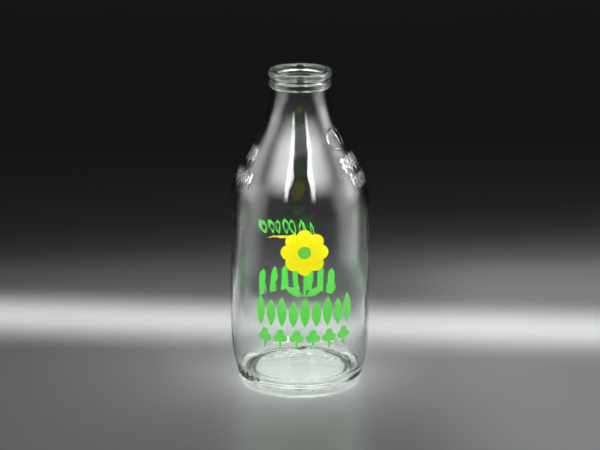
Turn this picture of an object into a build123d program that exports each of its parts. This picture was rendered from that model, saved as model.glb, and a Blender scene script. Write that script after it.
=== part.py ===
from build123d import *
import os
from math import cos, degrees, radians, sin

# One-pint milk bottle: one moulded glass body and the coloured enamel that is fired on it.
# Frame: millimetres, +Z up along the bottle's axis, origin on the table at the middle of the foot.
# The front print faces -Y and the back print faces +Y.

# ---- Glass body, outside ----
body_radius = 40.0            # straight panel that carries the print
heel_top = 31.5               # height at which the panel ends and the wall begins to draw in
heel_sweep_radius = 86.5      # long curve from the panel down into the heel
heel_slope = 11.6             # degrees that the heel leans in at its foot
heel_corner_radius = 2.7      # turn from the heel to the bearing ring
panel_top = 105.2             # height at which the shoulder begins
shoulder_radius = 48.6        # outward curve at the foot of the shoulder
shoulder_slope = 30.0         # degrees that the shoulder leans in between its two curves
neck_sweep_radius = 53.6      # inward curve from the shoulder to the neck
neck_straight = 0.3           # upright stretch of neck below the finish

# ---- Glass body, inside ----
body_wall = 2.5               # heel, panel and shoulder
neck_wall = 2.7               # neck between its bore and its outside
mouth_radius = 13.75          # straight bore through the finish
bearing_width = 1.6           # flat ring that the bottle stands on
foot_chamfer = 1.2            # slope on the inner side of the bearing ring
push_up = 4.6                 # height of the hollow under the bottle, at its middle
base_thickness = 4.0          # glass between that hollow and the floor inside
floor_edge_height = 4.8       # height at which the floor would meet the wall inside
floor_corner_radius = 8.0     # round between the floor and the wall inside

# ---- Finish: the two beads at the mouth ----
lower_bead_overhang = 1.05    # how far it stands out from the neck
lower_bead_height = 4.5
lower_bead_round = 1.85
groove_height = 1.35
upper_bead_overhang = 1.3
upper_bead_height = 3.95
upper_bead_under_round = 1.4
upper_bead_top_round = 1.25
mouth_round = 1.4             # inner edge of the rim

# ---- Enamel print ----
enamel_thickness = 0.15
print_centre = 4.0            # degrees from straight ahead to the middle of the front print
flower_radius = 13.2
flower_petals = 8
flower_height = 0.776         # middle of the flower, as a share of the panel's height
flower_angle = 3.6            # degrees from straight ahead
petal_radius = 4.4
eye_radius = 3.2              # green eye of the flower
eye_gap = 0.3                 # bare glass between the eye and the petals
blade_count = 9
blade_width = 5.4
blade_length = 18.0
short_blade_length = 15.6     # every other blade
blade_base = 0.180            # foot of the blades, as a share of the panel's height
blade_gap = 1.1               # bare glass between two blades, measured along the glass
clover_count = 6
clover_gap = 1.1              # bare glass between two clovers, measured along the glass
clover_base = 0.008           # foot of the clovers, as a share of the panel's height
clover_leaf_radius = 2.15
clover_stem_width = 1.4
clover_stem_length = 6.0
clover_spread = 0.92          # from the stem to the middle of a side leaf, as a share of the leaf's radius
clover_crown_lift = 0.45      # how much more the top leaf rises, as a share of that spread
stem_width = 1.3
stem_leaf_length = 0.907      # as a share of the stem's height, so that it stays clear of the petals
stem_leaf_width = 0.382       # as a share of its length
stem_leaf_lean = 62.0         # degrees from upright

# ---- Enamel print on the back ----
garland_leaf_count = 7
garland_leaf_length = 10.4
garland_leaf_width = 3.8
garland_start = -33.0         # degrees, seen from the front through the glass
garland_end = 13.0
garland_base = 0.624          # foot of the first leaf, as a share of the panel's height
garland_fall = 5.5            # how far the garland comes down from one end to the other
garland_leaf_line = 0.8       # width of the line that each leaf is drawn with
garland_lean = 16.0           # degrees that the leaves lean
garland_sway = 3.0            # degrees more or less that they lean in turn
swash_drop = 2.6              # bare glass between the garland and the stroke under it
swash_width = 1.5
swash_bow = 1.2               # how far the stroke arches up in the middle
picket_count = 7
picket_start = -36.0          # degrees, seen from the front through the glass
picket_end = 30.0
picket_base = 0.120           # as a share of the panel's height
picket_length = 15.5
picket_width = 4.0
picket_point = 3.0            # height of the pointed top

# ---- Worked out from the sizes above ----
neck_radius = mouth_radius + neck_wall
panel_height = panel_top - heel_top
clover_width = 2 * clover_leaf_radius * (1 + clover_spread)
blade_step = degrees((blade_width + blade_gap) / body_radius)
clover_step = degrees((clover_width + clover_gap) / body_radius)


def shoulder_run(foot_radius, top_radius, outward_radius, inward_radius):
    """Curve, straight cone and curve from the panel up to the neck."""
    lean = radians(shoulder_slope)
    cone_foot = foot_radius - outward_radius * (1 - cos(lean))
    cone_top = top_radius + inward_radius * (1 - cos(lean))
    cone_length = (cone_foot - cone_top) / sin(lean)
    outward = JernArc((foot_radius, panel_top), (0, 1), outward_radius, shoulder_slope)
    cone = Line(outward @ 1, outward @ 1 + (outward % 1) * cone_length)
    inward = JernArc(cone @ 1, cone % 1, inward_radius, -shoulder_slope)
    return [outward, cone, inward]


def heel_foot(wall_radius, sweep_radius, height):
    """Radius of the heel's straight cone at a height, and of the top of that cone."""
    lean = radians(heel_slope)
    cone_top_radius = wall_radius - sweep_radius * (1 - cos(lean))
    cone_top_height = heel_top - sweep_radius * sin(lean)
    run = cone_top_height - height
    return Vector(cone_top_radius - run * sin(lean) / cos(lean), height)


def heel_run():
    """Outside of the heel, from the bearing ring up to the panel."""
    lean = radians(heel_slope)
    turn_height = heel_corner_radius * (1 - sin(lean))
    turn_end = heel_foot(body_radius, heel_sweep_radius, turn_height)
    ring_radius = turn_end.X - heel_corner_radius * cos(lean)
    corner = JernArc((ring_radius, 0), (1, 0), heel_corner_radius, 90 - heel_slope)
    sweep = JernArc((body_radius, heel_top), (0, -1), heel_sweep_radius, -heel_slope)
    cone = Line(corner @ 1, sweep @ 1)
    return [corner, cone, sweep]


def glass_section():
    """Half section of the glass body, in the plane of radius and height."""
    heel = heel_run()
    ring_radius = (heel[0] @ 0).X
    shoulder = shoulder_run(body_radius, neck_radius, shoulder_radius, neck_sweep_radius)
    neck_top = (shoulder[-1] @ 1).Y + neck_straight
    groove_top = neck_top + lower_bead_height + groove_height

    inner_radius = body_radius - body_wall
    inner_sweep = JernArc((inner_radius, heel_top), (0, -1), heel_sweep_radius - body_wall, -heel_slope)
    floor_edge = heel_foot(inner_radius, heel_sweep_radius - body_wall, floor_edge_height)
    inner_shoulder = shoulder_run(
        inner_radius, mouth_radius, shoulder_radius - body_wall, neck_sweep_radius + neck_wall
    )

    hollow_edge = (ring_radius - bearing_width - foot_chamfer, foot_chamfer)
    outline = [
        TangentArc((0, push_up), hollow_edge, tangent=(1, 0)),
        Line(hollow_edge, (ring_radius - bearing_width, 0)),
        Line((ring_radius - bearing_width, 0), (ring_radius, 0)),
        *heel,
        Line((body_radius, heel_top), (body_radius, panel_top)),
        *shoulder,
        Line((neck_radius, neck_top - neck_straight), (neck_radius, groove_top)),
        Line((neck_radius, groove_top), (mouth_radius, groove_top)),
        Line((mouth_radius, groove_top), inner_shoulder[-1] @ 1),
        *inner_shoulder,
        Line((inner_radius, panel_top), (inner_radius, heel_top)),
        inner_sweep,
        Line(inner_sweep @ 1, floor_edge),
        TangentArc((0, push_up + base_thickness), floor_edge, tangent=(1, 0)),
        Line((0, push_up + base_thickness), (0, push_up)),
    ]
    wall = make_face(outline)
    corner = wall.vertices().sort_by_distance(Vertex(floor_edge.X, floor_edge.Y, 0))[0]
    wall = fillet(corner, floor_corner_radius)
    return wall + lower_bead(neck_top) + upper_bead(groove_top)


def bead_blank(overhang, foot_height, height):
    """Plain rectangle from the bore out past the neck."""
    width = neck_wall + overhang
    middle = (mouth_radius + width / 2, foot_height + height / 2)
    return Pos(*middle) * Rectangle(width, height)


def lower_bead(foot_height):
    blank = bead_blank(lower_bead_overhang, foot_height, lower_bead_height)
    return fillet(blank.vertices().group_by(Axis.X)[-1], lower_bead_round)


def upper_bead(foot_height):
    blank = bead_blank(upper_bead_overhang, foot_height, upper_bead_height)
    blank = fillet(blank.vertices().group_by(Axis.X)[-1].sort_by(Axis.Y)[0], upper_bead_under_round)
    blank = fillet(blank.vertices().group_by(Axis.X)[-1].sort_by(Axis.Y)[-1], upper_bead_top_round)
    return fillet(blank.vertices().group_by(Axis.X)[0].sort_by(Axis.Y)[-1], mouth_round)


def glass_body():
    return revolve(Plane.XZ * glass_section(), Axis.Z)


# ---- Print shapes: flat outlines, x across and y up, as seen from straight ahead ----


def across(angle):
    """Distance from the axis, seen from straight ahead, of a place on the panel."""
    return body_radius * sin(radians(angle))


def up_panel(share):
    """Height of a place on the panel, given as a share of the panel's height."""
    return heel_top + share * panel_height


def leaf(length, width):
    """Pointed leaf that stands on the origin."""
    right = ThreePointArc((0, 0), (width / 2, length / 2), (0, length))
    left = ThreePointArc((0, length), (-width / 2, length / 2), (0, 0))
    return make_face([right, left])


def drawn_leaf():
    """Garland leaf that is only drawn round its edge."""
    inner_width = garland_leaf_width - 2 * garland_leaf_line
    inner_length = garland_leaf_length * inner_width / garland_leaf_width
    inner_foot = (garland_leaf_length - inner_length) / 2
    edge = leaf(garland_leaf_length, garland_leaf_width)
    return edge - Pos(0, inner_foot) * leaf(inner_length, inner_width)


def clover():
    """Three round leaves over a short stem that stands on the origin."""
    top = clover_stem_length + clover_leaf_radius
    spread = clover_leaf_radius * clover_spread
    side = Pos(spread, clover_stem_length) * Circle(clover_leaf_radius)
    other_side = Pos(-spread, clover_stem_length) * Circle(clover_leaf_radius)
    crown = Pos(0, top + spread * clover_crown_lift) * Circle(clover_leaf_radius)
    stem = Pos(0, top / 2) * Rectangle(clover_stem_width, top)
    return stem + side + other_side + crown


def flower():
    """Round petals about an open middle."""
    reach = flower_radius - petal_radius
    shape = Circle(reach)
    for petal in range(flower_petals):
        shape += Rot(0, 0, petal * 360 / flower_petals) * Pos(reach, 0) * Circle(petal_radius)
    return shape - Circle(eye_radius + eye_gap)


def picket():
    """Upright fence board with a pointed top, standing on the origin."""
    half = picket_width / 2
    eaves = picket_length - picket_point
    return make_face(Polyline(
        (-half, 0), (half, 0), (half, eaves), (0, picket_length), (-half, eaves), (-half, 0)
    ))


def narrowed(shape, angle):
    """A shape made as narrow as it looks where the panel turns away from the viewer."""
    return scale(shape, by=(cos(radians(angle)), 1, 1))


def fired_on(shapes, side):
    """Enamel of the given outlines on the panel: side -1 is the front and 1 is the back."""
    standing = (Align.CENTER, Align.CENTER, Align.MIN)
    outer = Cylinder(body_radius + enamel_thickness, panel_height, align=standing)
    inner = Cylinder(body_radius, panel_height, align=standing)
    skin = Pos(0, 0, up_panel(0)) * (outer - inner)
    solids = []
    for shape in shapes:
        block = extrude(Plane.XZ * shape, amount=-side * 2 * body_radius)
        solids += (block & skin).solids()
    return Compound(children=solids)


def flower_place():
    return Pos(across(flower_angle), up_panel(flower_height))


def front_flower():
    return fired_on([flower_place() * flower()], -1)


def front_stem():
    """Green eye, stem and two leaves of the flower."""
    blade_top = up_panel(blade_base) + blade_length
    stem_top = up_panel(flower_height) - flower_radius - eye_gap
    stem_foot = blade_top + eye_gap
    middle = (across(flower_angle), (stem_foot + stem_top) / 2)
    stem_height = stem_top - stem_foot
    stem = Pos(*middle) * Rectangle(stem_width, stem_height)
    leaf_length = stem_height * stem_leaf_length
    leaves = []
    for turn in (-stem_leaf_lean, stem_leaf_lean):
        foot = Pos(across(flower_angle), stem_foot)
        leaves.append(foot * Rot(0, 0, turn) * leaf(leaf_length, leaf_length * stem_leaf_width))
    return fired_on([flower_place() * Circle(eye_radius), stem + leaves[0] + leaves[1]], -1)


def front_grass():
    blades = []
    for number in range(blade_count):
        angle = print_centre + (number - (blade_count - 1) / 2) * blade_step
        length = blade_length if number % 2 == 0 else short_blade_length
        blade = narrowed(leaf(length, blade_width), angle)
        blades.append(Pos(across(angle), up_panel(blade_base)) * blade)
    return fired_on(blades, -1)


def front_clovers():
    clovers = []
    for number in range(clover_count):
        angle = print_centre + (number - (clover_count - 1) / 2) * clover_step
        clovers.append(Pos(across(angle), up_panel(clover_base)) * narrowed(clover(), angle))
    return fired_on(clovers, -1)


def back_garland():
    leaves = []
    for number in range(garland_leaf_count):
        share = number / (garland_leaf_count - 1)
        angle = garland_start + share * (garland_end - garland_start)
        lean = garland_lean + (garland_sway if number % 2 == 0 else -garland_sway)
        place = Pos(across(angle), up_panel(garland_base) - garland_fall * share)
        leaves.append(place * Rot(0, 0, lean) * drawn_leaf())
    return fired_on(leaves, 1)


def back_swash():
    """Curved stroke under the garland, thick in the middle and pointed at its ends."""
    left = Vector(across(garland_start), up_panel(garland_base) - swash_drop)
    right = Vector(across(garland_end), up_panel(garland_base) - garland_fall - swash_drop)
    middle = (left + right) / 2
    lower = ThreePointArc(left, middle + Vector(0, swash_bow - swash_width / 2), right)
    upper = ThreePointArc(right, middle + Vector(0, swash_bow + swash_width / 2), left)
    return fired_on([make_face([lower, upper])], 1)


def back_pickets():
    pickets = []
    for number in range(picket_count):
        angle = picket_start + number / (picket_count - 1) * (picket_end - picket_start)
        pickets.append(Pos(across(angle), up_panel(picket_base)) * narrowed(picket(), angle))
    return fired_on(pickets, 1)


nodes = {
    "glass_body": glass_body(),
    "front_flower_yellow": front_flower(),
    "front_stem_green": front_stem(),
    "front_grass_green": front_grass(),
    "front_clovers_green": front_clovers(),
    "back_garland_green": back_garland(),
    "back_swash_amber": back_swash(),
    "back_pickets_green": back_pickets(),
}

os.makedirs("parts", exist_ok=True)
for name, shape in nodes.items():
    export_step(shape, f"parts/{name}.step")
    box = shape.bounding_box()
    print(name, len(shape.solids()), round(shape.volume, 2), [round(v, 2) for v in (*box.min, *box.max)])
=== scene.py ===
# %% [markdown]
# # A one-pint glass milk bottle
#
# The real object is one piece of clear moulded glass with coloured enamel fired on its outside. Clear glass
# has almost no colour of its own: what we see in it is the room, bent by the outer wall and then by the
# inner wall. So this script spends its effort on three things: a wall with a true inside and outside, the
# small raised marks that the mould leaves, and a studio that gives the glass something to bend.
#
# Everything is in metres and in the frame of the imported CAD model, which is loaded first and never changed.

# %% Load the frame
import math

import bmesh
import bpy
from mathutils import Matrix, Vector
from mathutils.kdtree import KDTree


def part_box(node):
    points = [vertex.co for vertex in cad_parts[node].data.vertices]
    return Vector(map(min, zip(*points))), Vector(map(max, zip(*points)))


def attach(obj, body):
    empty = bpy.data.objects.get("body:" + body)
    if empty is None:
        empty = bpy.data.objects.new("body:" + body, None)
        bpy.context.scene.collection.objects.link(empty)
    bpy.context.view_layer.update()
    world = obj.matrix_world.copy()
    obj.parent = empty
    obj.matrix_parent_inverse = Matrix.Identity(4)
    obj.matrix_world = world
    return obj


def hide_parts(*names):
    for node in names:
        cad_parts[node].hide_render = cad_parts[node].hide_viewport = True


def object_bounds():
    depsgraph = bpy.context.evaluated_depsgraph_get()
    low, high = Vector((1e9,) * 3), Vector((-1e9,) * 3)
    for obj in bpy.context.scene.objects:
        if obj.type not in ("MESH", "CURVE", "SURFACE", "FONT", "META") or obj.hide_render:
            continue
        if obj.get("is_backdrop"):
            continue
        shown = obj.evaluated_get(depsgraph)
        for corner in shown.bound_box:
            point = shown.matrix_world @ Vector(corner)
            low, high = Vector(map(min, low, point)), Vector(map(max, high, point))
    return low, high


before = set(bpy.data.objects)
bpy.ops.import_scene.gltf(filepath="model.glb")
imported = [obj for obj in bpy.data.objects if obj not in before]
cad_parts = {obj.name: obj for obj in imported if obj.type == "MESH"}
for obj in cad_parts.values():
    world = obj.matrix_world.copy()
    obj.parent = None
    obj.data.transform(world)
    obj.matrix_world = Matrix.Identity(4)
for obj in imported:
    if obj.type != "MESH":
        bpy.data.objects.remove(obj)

cad_low, cad_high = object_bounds()
glass_low, glass_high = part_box("glass_body")
body_radius = glass_high.x
bottle_height = glass_high.z
print("the bottle is", round(body_radius * 2000, 1), "mm across and",
      round(bottle_height * 1000, 1), "mm tall")

# %% [markdown]
# ## Camera
#
# A bottle looks like itself only at the right distance: from too near, the foot curves too much. The camera
# is about a metre away and looks down by 17 degrees, with a long lens.

# %% Camera
MM = 0.001
camera_distance = 986.5 * MM
camera_height = 396.2 * MM
camera_pitch = 17.104                # degrees below the horizon
camera_lens = 108.2                  # millimetres, on a sensor 36 mm wide


def make_camera():
    data = bpy.data.cameras.new("camera")
    data.lens = camera_lens
    data.sensor_width = 36
    camera = bpy.data.objects.new("camera", data)
    camera.location = (0, -camera_distance, camera_height)
    camera.rotation_euler = (math.radians(90 - camera_pitch), 0, 0)
    bpy.context.scene.collection.objects.link(camera)
    bpy.context.scene.camera = camera


make_camera()
print("camera", round(camera_distance, 3), "m in front and", round(camera_height, 3), "m up")

# %% [markdown]
# ## Small helpers
#
# A node tree reads better in code when each node is one line. `place` adds a node, sets its options and
# fills its inputs: a value is written to the socket, and an output is linked to it. Every Geometry Nodes
# tree here begins and ends in the same way, and `grow` runs one and keeps the result as a plain mesh.

# %% Node helpers


def place(tree, kind, options=None, inputs=None):
    """Adds a node. inputs maps a socket's name or number to a value or to another node's output."""
    node = tree.nodes.new(kind)
    for name, value in (options or {}).items():
        setattr(node, name, value)
    for key, value in (inputs or {}).items():
        socket = node.inputs[key]
        if isinstance(value, bpy.types.NodeSocket):
            tree.links.new(value, socket)
        else:
            socket.default_value = value
    return node


def calculate(tree, operation, first, second=0.0):
    """One step of arithmetic."""
    node = place(tree, "ShaderNodeMath", {"operation": operation}, {0: first, 1: second})
    return node.outputs[0]


# %% Values that change over a surface


def product(tree, first, *others):
    """All the values multiplied together."""
    for other in others:
        first = calculate(tree, "MULTIPLY", first, other)
    return first


def ease(tree, value, start, stop, low=0.0, high=1.0, slope="SMOOTHSTEP"):
    """low before start, high beyond stop, and a slope between them."""
    return place(tree, "ShaderNodeMapRange", {"interpolation_type": slope}, {
        "Value": value, "From Min": start, "From Max": stop, "To Min": low, "To Max": high,
    }).outputs[0]


def noise(tree, where, scale, detail, roughness=0.5, distortion=0.0):
    """A cloudy value between 0 and 1."""
    return place(tree, "ShaderNodeTexNoise", None, {
        "Vector": where, "Scale": scale, "Detail": detail, "Roughness": roughness, "Distortion": distortion,
    }).outputs[0]


def blend(tree, share, first, second, kind="MIX"):
    """The first colour where share is 0 and the two together where it is 1."""
    return place(tree, "ShaderNodeMix", {"data_type": "RGBA", "blend_type": kind}, {
        "Factor": share, "A": first, "B": second,
    }).outputs["Result"]


# %% New materials and node trees


def new_material(name):
    """A material with its node tree and its Principled shader."""
    material = bpy.data.materials.new(name)
    material.use_nodes = True
    return material, material.node_tree, material.node_tree.nodes["Principled BSDF"]


def new_tree(name, kind, takes, gives):
    """An empty node group. takes and gives are pairs of a socket's name and kind."""
    tree = bpy.data.node_groups.new(name, kind)
    for way, sockets in (("INPUT", takes), ("OUTPUT", gives)):
        for socket_name, socket_kind in sockets:
            tree.interface.new_socket(name=socket_name, in_out=way, socket_type="NodeSocket" + socket_kind)
    return tree, tree.nodes.new("NodeGroupInput").outputs, tree.nodes.new("NodeGroupOutput").inputs


def new_geometry_tree(name, sockets):
    """An empty Geometry Nodes tree with a geometry coming in and going out, and the named inputs."""
    geometry = ("Geometry", "Geometry")
    return new_tree(name, "GeometryNodeTree", [geometry, *sockets], [geometry])


def end_geometry_tree(tree, geometry, material, result):
    """Sends the geometry out as real faces with their material."""
    real = place(tree, "GeometryNodeRealizeInstances", None, {"Geometry": geometry})
    painted = place(tree, "GeometryNodeSetMaterial", None, {
        "Geometry": real.outputs[0], "Material": material,
    })
    tree.links.new(painted.outputs[0], result["Geometry"])


# %% Meshes


def grow(name, start_mesh, tree, values):
    """Runs a Geometry Nodes tree on a mesh and returns the result as an object with a plain mesh."""
    source = bpy.data.objects.new(name + "_source", start_mesh)
    bpy.context.scene.collection.objects.link(source)
    modifier = source.modifiers.new("nodes", "NODES")
    modifier.node_group = tree
    for item in tree.interface.items_tree:
        if item.item_type == "SOCKET" and item.in_out == "INPUT" and item.name in values:
            modifier[item.identifier] = values[item.name]
    source.update_tag()
    bpy.context.view_layer.update()
    evaluated = source.evaluated_get(bpy.context.evaluated_depsgraph_get())
    mesh = bpy.data.meshes.new_from_object(evaluated)
    mesh.name = name
    bpy.data.objects.remove(source)
    piece = bpy.data.objects.new(name, mesh)
    bpy.context.scene.collection.objects.link(piece)
    return piece


def close_up(shape, piece):
    """Makes every face of a closed mesh look out of it, and tells its volume and how many edges are open."""
    bmesh.ops.recalc_face_normals(shape, faces=shape.faces)
    if shape.calc_volume(signed=True) < 0:
        bmesh.ops.reverse_faces(shape, faces=shape.faces)
    volume = shape.calc_volume(signed=True)
    open_edges = sum(1 for edge in shape.edges if not edge.is_manifold)
    shape.to_mesh(piece.data)
    shape.free()
    return volume, open_edges


def line_mesh(name, paths):
    """A mesh of edges only: each path is a list of points, joined in order."""
    points = []
    edges = []
    for path in paths:
        first = len(points)
        points += [tuple(p) for p in path]
        edges += [(first + n, first + n + 1) for n in range(len(path) - 1)]
    mesh = bpy.data.meshes.new(name)
    mesh.from_pydata(points, edges, [])
    return mesh


# %% [markdown]
# ## The outline of the glass
#
# A bottle is a turned shape, so its half section says everything: it starts in the middle of the hollow
# under the foot, goes out and up the outside, over the rim and down the inside to the middle of the floor.
# The section is written as corners, each with the radius that rounds it, which is how a mould maker draws
# it. `rounded_path` puts in the arcs. The corners of the long curves of heel, shoulder and neck lie off the
# glass, where the straight stretches on their two sides would meet.

# %% Sizes of the glass
heel_lean = math.radians(11.6)
shoulder_lean = math.radians(30.0)
wall = 2.5 * MM
neck_wall = 2.7 * MM
bore = 13.75 * MM
neck_radius = bore + neck_wall
heel_top = 31.5 * MM
panel_top = 105.2 * MM
heel_curve = 86.5 * MM
shoulder_curve = 48.6 * MM
neck_curve = 53.6 * MM
push_up = 4.6 * MM                   # height of the hollow under the foot
floor_height = 8.6 * MM
lower_bead = 17.5 * MM               # radius
upper_bead = 17.75 * MM              # radius, where a foil cap goes

# %% Rounded paths


def rounded_path(corners):
    """Points along straight stretches joined by arcs. A corner is (radius, height, rounding, step)."""
    path = [Vector(corners[0][:2])]
    for before, corner, after in zip(corners, corners[1:], corners[2:]):
        here = Vector(corner[:2])
        way_in = (here - Vector(before[:2])).normalized()
        way_out = (Vector(after[:2]) - here).normalized()
        turn = way_in.angle_signed(way_out)
        reach = corner[2] * math.tan(abs(turn) / 2)
        start = here - way_in * reach
        walk_to(path, start, corner[3])
        side = 1 if turn < 0 else -1
        centre = start + Vector((-way_in.y, way_in.x)) * corner[2] * side
        steps = max(3, math.ceil(abs(turn) * corner[2] / corner[3]), math.ceil(abs(turn) / math.radians(9)))
        for step in range(1, steps + 1):
            spoke = start - centre
            spoke.rotate(Matrix.Rotation(-turn * step / steps, 2))
            path.append(centre + spoke)
    walk_to(path, Vector(corners[-1][:2]), corners[-1][3])
    return path


def walk_to(path, goal, step):
    """Adds evenly spaced points up to the goal."""
    start = path[-1]
    count = max(1, math.ceil((goal - start).length / step))
    for n in range(1, count + 1):
        path.append(start.lerp(goal, n / count))


# %% Half section
FINE = 1.3 * MM                      # step between points where marks will be raised
PLAIN = 4.0 * MM
heel_corner = heel_top - heel_curve * math.tan(heel_lean / 2)
shoulder_corner = panel_top + shoulder_curve * math.tan(shoulder_lean / 2)
neck_corner = shoulder_corner + (body_radius - neck_radius) / math.tan(shoulder_lean)
foot_corner = body_radius - heel_corner * math.tan(heel_lean)
neck_top = neck_corner + neck_curve * math.tan(shoulder_lean / 2) + 0.3 * MM

inner_radius = body_radius - wall
inner_heel_corner = heel_top - (heel_curve - wall) * math.tan(heel_lean / 2)
inner_shoulder_corner = panel_top + (shoulder_curve - wall) * math.tan(shoulder_lean / 2)
inner_neck_corner = inner_shoulder_corner + (inner_radius - bore) / math.tan(shoulder_lean)
floor_edge = inner_radius - (inner_heel_corner - 4.8 * MM) * math.tan(heel_lean)

outside = [
    (0, push_up, 0, 3 * MM),
    (15.2 * MM, push_up, 137 * MM, 2 * MM),
    (30.3 * MM, 1.3 * MM, 1.2 * MM, 2 * MM),
    (31.6 * MM, 0, 0.5 * MM, 1 * MM),
    (foot_corner, 0, 2.7 * MM, 1 * MM),
    (body_radius, heel_corner, heel_curve, 1.2 * MM),
    (body_radius, shoulder_corner, shoulder_curve, 3 * MM),
    (neck_radius, neck_corner, neck_curve, FINE),
    (neck_radius, neck_top, 0.35 * MM, 1.5 * MM),
    (lower_bead, neck_top + 0.9 * MM, 1.5 * MM, 1 * MM),
    (lower_bead, neck_top + 3.9 * MM, 1.5 * MM, 1 * MM),
    (neck_radius, neck_top + 4.6 * MM, 0.35 * MM, 1 * MM),
    (neck_radius, neck_top + 5.8 * MM, 0.35 * MM, 1 * MM),
    (upper_bead, neck_top + 6.4 * MM, 1.2 * MM, 1 * MM),
    (upper_bead, bottle_height, 1.25 * MM, 1 * MM),
    (bore, bottle_height, 1.4 * MM, 1 * MM),
]
inside = [
    (bore, inner_neck_corner, neck_curve + neck_wall, 3 * MM),
    (inner_radius, inner_shoulder_corner, shoulder_curve - wall, 3 * MM),
    (inner_radius, inner_heel_corner, heel_curve - wall, PLAIN),
    (floor_edge, 4.8 * MM, 8 * MM, 3 * MM),
    (16.9 * MM, floor_height, 150 * MM, 3 * MM),
    (0, floor_height, 0, 3 * MM),
]
section = rounded_path(outside + inside)
rim_row = max(range(len(section)), key=lambda n: section[n].y)
print("the section has", len(section), "points, and the rim is point", rim_row)

# %% [markdown]
# ## Raised marks from the mould
#
# The mould of a real bottle is engraved, so the glass carries raised marks on its shoulders and heel. Drawn
# as separate pieces they would sit inside the glass and bend light twice. Here they are lines that lie on
# the outside, and the relief below lifts the glass wherever it passes close to one. The marks are plain
# ornament: ears of wheat with short strokes between them, a small ring in a larger one, and short bars
# under the foot.

# %% Places on the outside of the glass


def outside_radius(height):
    """Radius of the outside of the glass at a height."""
    rows = [p for p in section[:rim_row + 1] if p.x > 5 * MM]
    for low, high in zip(rows, rows[1:]):
        if low.y <= height <= high.y and high.y > low.y:
            return low.x + (high.x - low.x) * (height - low.y) / (high.y - low.y)
    return rows[-1].x


def on_glass(angle, height):
    """The point on the outside at a height and an angle, in degrees from the front to the viewer's right."""
    turn = math.radians(angle)
    radius = outside_radius(height)
    return Vector((radius * math.sin(turn), -radius * math.cos(turn), height))


def stroke(start, end, steps=6):
    """A straight stroke, given by its two ends as (angle, height)."""
    return [on_glass(*(Vector(start).lerp(Vector(end), n / steps))) for n in range(steps + 1)]


# %% Wheat ears, rings and bars


def wheat_ear(angle, foot, height, width):
    """An upright stroke with a pair of side strokes that rise from it."""
    half = width / 2
    middle = foot + height * 0.42
    paths = [stroke((angle, foot), (angle, foot + height))]
    for side in (-half, half):
        paths.append(stroke((angle, foot + height * 0.1), (angle + side, middle)))
        paths.append(stroke((angle, foot + height * 0.5), (angle + side, foot + height * 0.88)))
    return paths


def ear_row(first, last, foot, height, count):
    """A row of wheat ears with a short upright stroke between each two."""
    paths = []
    step = (last - first) / count
    for number in range(count):
        angle = first + step * (number + 0.5)
        paths += wheat_ear(angle, foot, height, step * 0.66)
        if number:
            between = angle - step / 2
            paths.append(stroke((between, foot + height * 0.2), (between, foot + height * 0.8)))
    return paths


def ring(angle, height, radius, steps=40):
    """A circle laid on the shoulder."""
    middle_radius = outside_radius(height)
    path = []
    for n in range(steps + 1):
        turn = 2 * math.pi * n / steps
        aside = math.degrees(radius * math.sin(turn) / middle_radius)
        path.append(on_glass(angle + aside, height + radius * math.cos(turn) * math.cos(shoulder_lean)))
    return path


def under_bar(angle, inner, outer, steps=5):
    """A short bar under the foot, from one radius to another."""
    path = []
    for n in range(steps + 1):
        radius = inner + (outer - inner) * n / steps
        low, high = next(pair for pair in zip(section, section[1:]) if pair[0].x <= radius <= pair[1].x)
        height = low.y + (high.y - low.y) * (radius - low.x) / (high.x - low.x)
        path.append(Vector((radius * math.sin(angle), -radius * math.cos(angle), height)))
    return path


# %% Set out the marks
shoulder_marks = [ring(57, 147 * MM, 6.6 * MM), ring(57, 147 * MM, 1.2 * MM, 12)]
shoulder_marks += ear_row(46, 92, 129.5 * MM, 8 * MM, 5)
shoulder_marks += ear_row(52, 96, 120.5 * MM, 6.4 * MM, 6)
shoulder_marks += ear_row(-82, -56, 133.5 * MM, 9 * MM, 3)
shoulder_marks += ear_row(-100, -46, 121.5 * MM, 7.6 * MM, 6)
heel_marks = ear_row(-76, -36, 8 * MM, 5 * MM, 6) + ear_row(118, 158, 8 * MM, 5 * MM, 6)
bar_count = 20
foot_marks = [under_bar(2 * math.pi * n / bar_count, 21 * MM, 24.5 * MM) for n in range(bar_count)]
all_marks = shoulder_marks + heel_marks + foot_marks
marks = bpy.data.objects.new("mark_lines", line_mesh("mark_lines", all_marks))
bpy.context.scene.collection.objects.link(marks)
print(len(all_marks), "lines of raised ornament")

# %% [markdown]
# ## The lathe
#
# Blender's Screw modifier could turn the section too, but a Geometry Nodes lathe also remembers which
# points are on the inner wall, and that is needed later. Row n of a grid takes the radius and height of
# point n of the section, and its column gives the angle.

# %% Lathe tree
MERGE_DISTANCE = 0.001 * MM


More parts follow.
